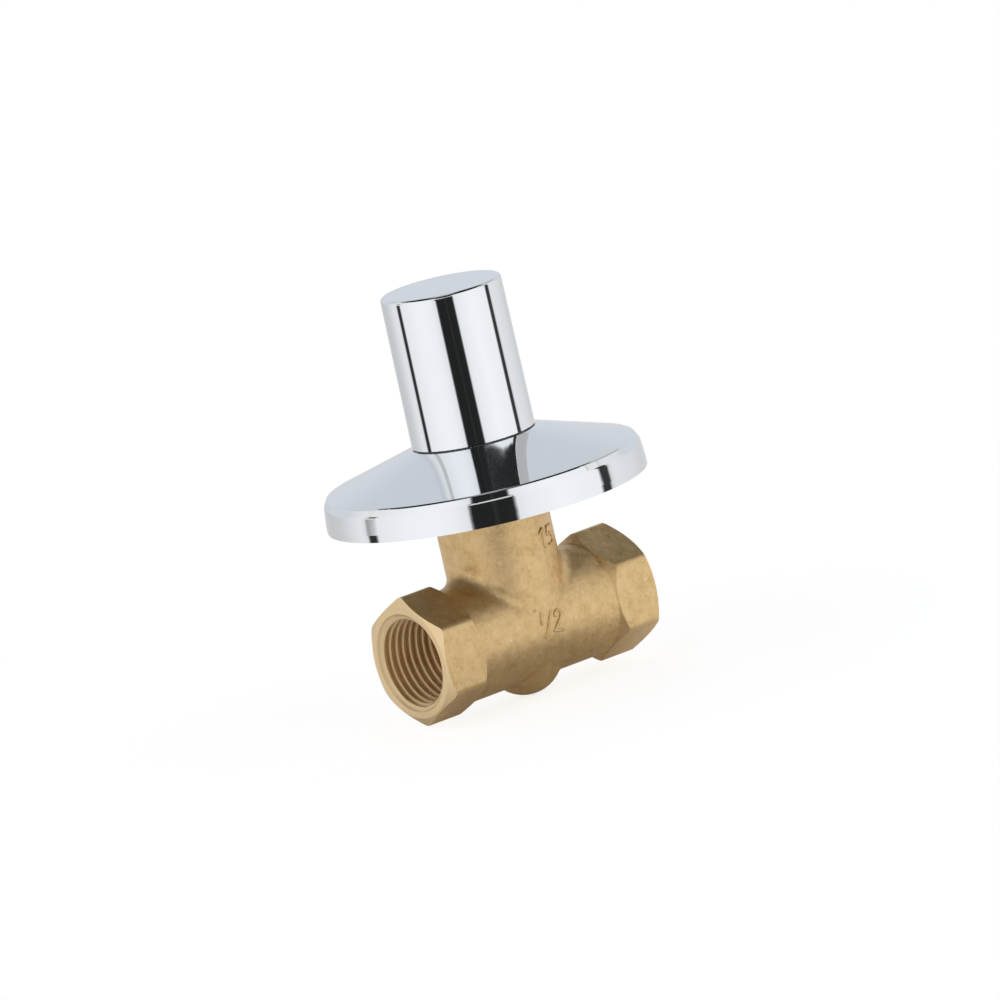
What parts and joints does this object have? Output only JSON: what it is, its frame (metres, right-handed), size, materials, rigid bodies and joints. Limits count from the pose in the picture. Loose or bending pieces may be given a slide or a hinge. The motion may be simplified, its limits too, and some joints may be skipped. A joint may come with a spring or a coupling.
{
  "type": "concealed stop valve",
  "caption": "Brass concealed stop valve with two threaded hexagon ports, a screw-down headwork, a sliding chromed wall flange and a round chromed handle.",
  "frame": {"origin": "centre of the inlet port's mouth", "axes": "+X along the pipe from inlet to outlet, +Z along the spindle from the body to the handle"},
  "size_m": [0.0694, 0.0694, 0.09],
  "materials": {
    "forged_brass": "sand-blasted forged brass",
    "turned_brass": "turned brass",
    "chrome": "polished chrome plate",
    "seal_rubber": "matt rubber",
    "white_plastic": "nylon",
    "grey_plastic": "moulded plastic",
    "spring_steel": "spring steel",
    "zinc_steel": "zinc-plated steel"
  },
  "bodies": {
    "valve": {"valve_body": "forged_brass", "headwork_bonnet": "turned_brass", "bonnet_seal_ring": "seal_rubber", "thrust_washer": "white_plastic", "cover_sleeve": "chrome", "skirt_guide_ring": "white_plastic"},
    "handle": {"spindle": "turned_brass", "spindle_ring_lower": "seal_rubber", "spindle_ring_upper": "seal_rubber", "spindle_circlip": "spring_steel", "handle_insert": "grey_plastic", "handle_screw": "zinc_steel", "handle_screw_washer": "zinc_steel", "handle_shell": "chrome", "shell_grip_ring": "seal_rubber"},
    "jumper": {"washer_carrier": "turned_brass", "seat_washer": "seal_rubber", "washer_screw": "turned_brass"},
    "flange": {"wall_flange": "chrome", "flange_bush": "white_plastic", "flange_friction_ring": "seal_rubber"}
  },
  "joints": [
    {"name": "handle_turn", "type": "hinge", "parent": "valve", "child": "handle", "pos_m": [0.0294, 0, 0.05], "axis": [0, 0, 1], "range_deg": [0, 900]},
    {"name": "jumper_slide", "type": "slide", "parent": "valve", "child": "jumper", "axis": [0, 0, 1], "range_m": [0, 0.005]},
    {"name": "flange_slide", "type": "slide", "parent": "valve", "child": "flange", "axis": [0, 0, 1], "range_m": [-0.008, 0]}
  ],
  "couplings": [
    {"joint": "jumper_slide", "follows": "handle_turn", "m_per_rad": 0.0003183}
  ]
}
